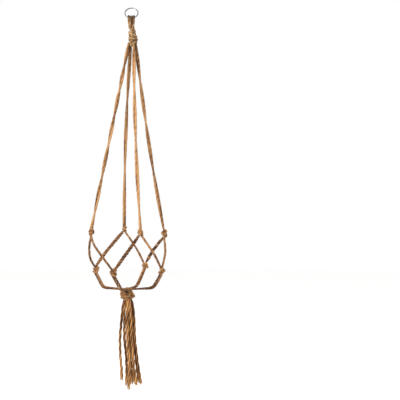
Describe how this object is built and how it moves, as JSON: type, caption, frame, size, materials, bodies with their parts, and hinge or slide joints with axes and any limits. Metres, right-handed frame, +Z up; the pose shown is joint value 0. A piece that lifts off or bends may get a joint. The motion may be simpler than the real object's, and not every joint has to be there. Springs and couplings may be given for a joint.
{
  "type": "hanging plant holder",
  "caption": "Hanging plant holder: a metal ring carries twisted plant-fibre cords that are knotted into an open net for a pot, with a tassel below.",
  "frame": {"origin": "hook seat: the highest point inside the hanging ring", "axes": "+Z up, away from the hanger; +X to the right, along the ring's lowest wire; +Y to the back"},
  "size_m": [0.2158, 0.2065, 1.051],
  "materials": {
    "ring_metal": "bright plated round wire",
    "jute_cord": "twisted jute cord, matt, golden brown",
    "jute_knot": "tightly pulled jute knot, matt, slightly darker in the creases",
    "jute_tassel": "slack jute strand with a frayed, lighter end"
  },
  "bodies": {
    "ring": {"hanging_ring": "ring_metal"},
    "hanger": {"ring_loop_1": "jute_cord", "ring_loop_2": "jute_cord", "ring_loop_3": "jute_cord", "ring_loop_4": "jute_cord", "top_knot": "jute_knot", "leg_left_a": "jute_cord", "leg_left_b": "jute_cord", "leg_back_a": "jute_cord", "leg_back_b": "jute_cord", "leg_front_a": "jute_cord", "leg_front_b": "jute_cord", "leg_right_a": "jute_cord", "leg_right_b": "jute_cord", "upper_knot_left": "jute_knot", "upper_knot_back": "jute_knot", "upper_knot_front": "jute_knot", "upper_knot_right": "jute_knot", "net_left_to_back_left": "jute_cord", "net_left_to_front_left": "jute_cord", "net_back_to_back_left": "jute_cord", "net_back_to_back_right": "jute_cord", "net_front_to_front_left": "jute_cord", "net_front_to_front_right": "jute_cord", "net_right_to_back_right": "jute_cord", "net_right_to_front_right": "jute_cord", "lower_knot_back_left": "jute_knot", "lower_knot_front_left": "jute_knot", "lower_knot_back_right": "jute_knot", "lower_knot_front_right": "jute_knot", "base_back_left_a": "jute_cord", "base_back_left_b": "jute_cord", "base_front_left_a": "jute_cord", "base_front_left_b": "jute_cord", "base_back_right_a": "jute_cord", "base_back_right_b": "jute_cord", "base_front_right_a": "jute_cord", "base_front_right_b": "jute_cord", "gathering_knot": "jute_knot"},
    "strand_1": {"tassel_strand_1": "jute_tassel"},
    "strand_2": {"tassel_strand_2": "jute_tassel"},
    "strand_3": {"tassel_strand_3": "jute_tassel"},
    "strand_4": {"tassel_strand_4": "jute_tassel"},
    "strand_5": {"tassel_strand_5": "jute_tassel"},
    "strand_6": {"tassel_strand_6": "jute_tassel"},
    "strand_7": {"tassel_strand_7": "jute_tassel"},
    "strand_8": {"tassel_strand_8": "jute_tassel"}
  },
  "joints": [
    {"name": "ring_pivot", "type": "hinge", "parent": "ring", "child": "hanger", "pos_m": [0, -0.01629, -0.02938], "axis": [1, 0, 0], "range_deg": [-30, 30]},
    {"name": "strand_1_swing", "type": "hinge", "parent": "hanger", "child": "strand_1", "pos_m": [-0.01737, -0.01629, -0.8021], "axis": [0, 1, 0], "range_deg": [0, 25]},
    {"name": "strand_2_swing", "type": "hinge", "parent": "hanger", "child": "strand_2", "pos_m": [-0.0151, -0.02178, -0.8021], "axis": [-0.7071, 0.7071, 0], "range_deg": [0, 25]},
    {"name": "strand_3_swing", "type": "hinge", "parent": "hanger", "child": "strand_3", "pos_m": [-0.0096, -0.02406, -0.8021], "axis": [-1, 0, 0], "range_deg": [0, 25]},
    {"name": "strand_4_swing", "type": "hinge", "parent": "hanger", "child": "strand_4", "pos_m": [-0.0041, -0.02178, -0.8021], "axis": [-0.7071, -0.7071, 0], "range_deg": [0, 25]},
    {"name": "strand_5_swing", "type": "hinge", "parent": "hanger", "child": "strand_5", "pos_m": [-0.00183, -0.01629, -0.8021], "axis": [0, -1, 0], "range_deg": [0, 25]},
    {"name": "strand_6_swing", "type": "hinge", "parent": "hanger", "child": "strand_6", "pos_m": [-0.0041, -0.01079, -0.8021], "axis": [0.7071, -0.7071, 0], "range_deg": [0, 25]},
    {"name": "strand_7_swing", "type": "hinge", "parent": "hanger", "child": "strand_7", "pos_m": [-0.0096, -0.00851, -0.8021], "axis": [1, 0, 0], "range_deg": [0, 25]},
    {"name": "strand_8_swing", "type": "hinge", "parent": "hanger", "child": "strand_8", "pos_m": [-0.0151, -0.01079, -0.8021], "axis": [0.7071, 0.7071, 0], "range_deg": [0, 25]}
  ]
}
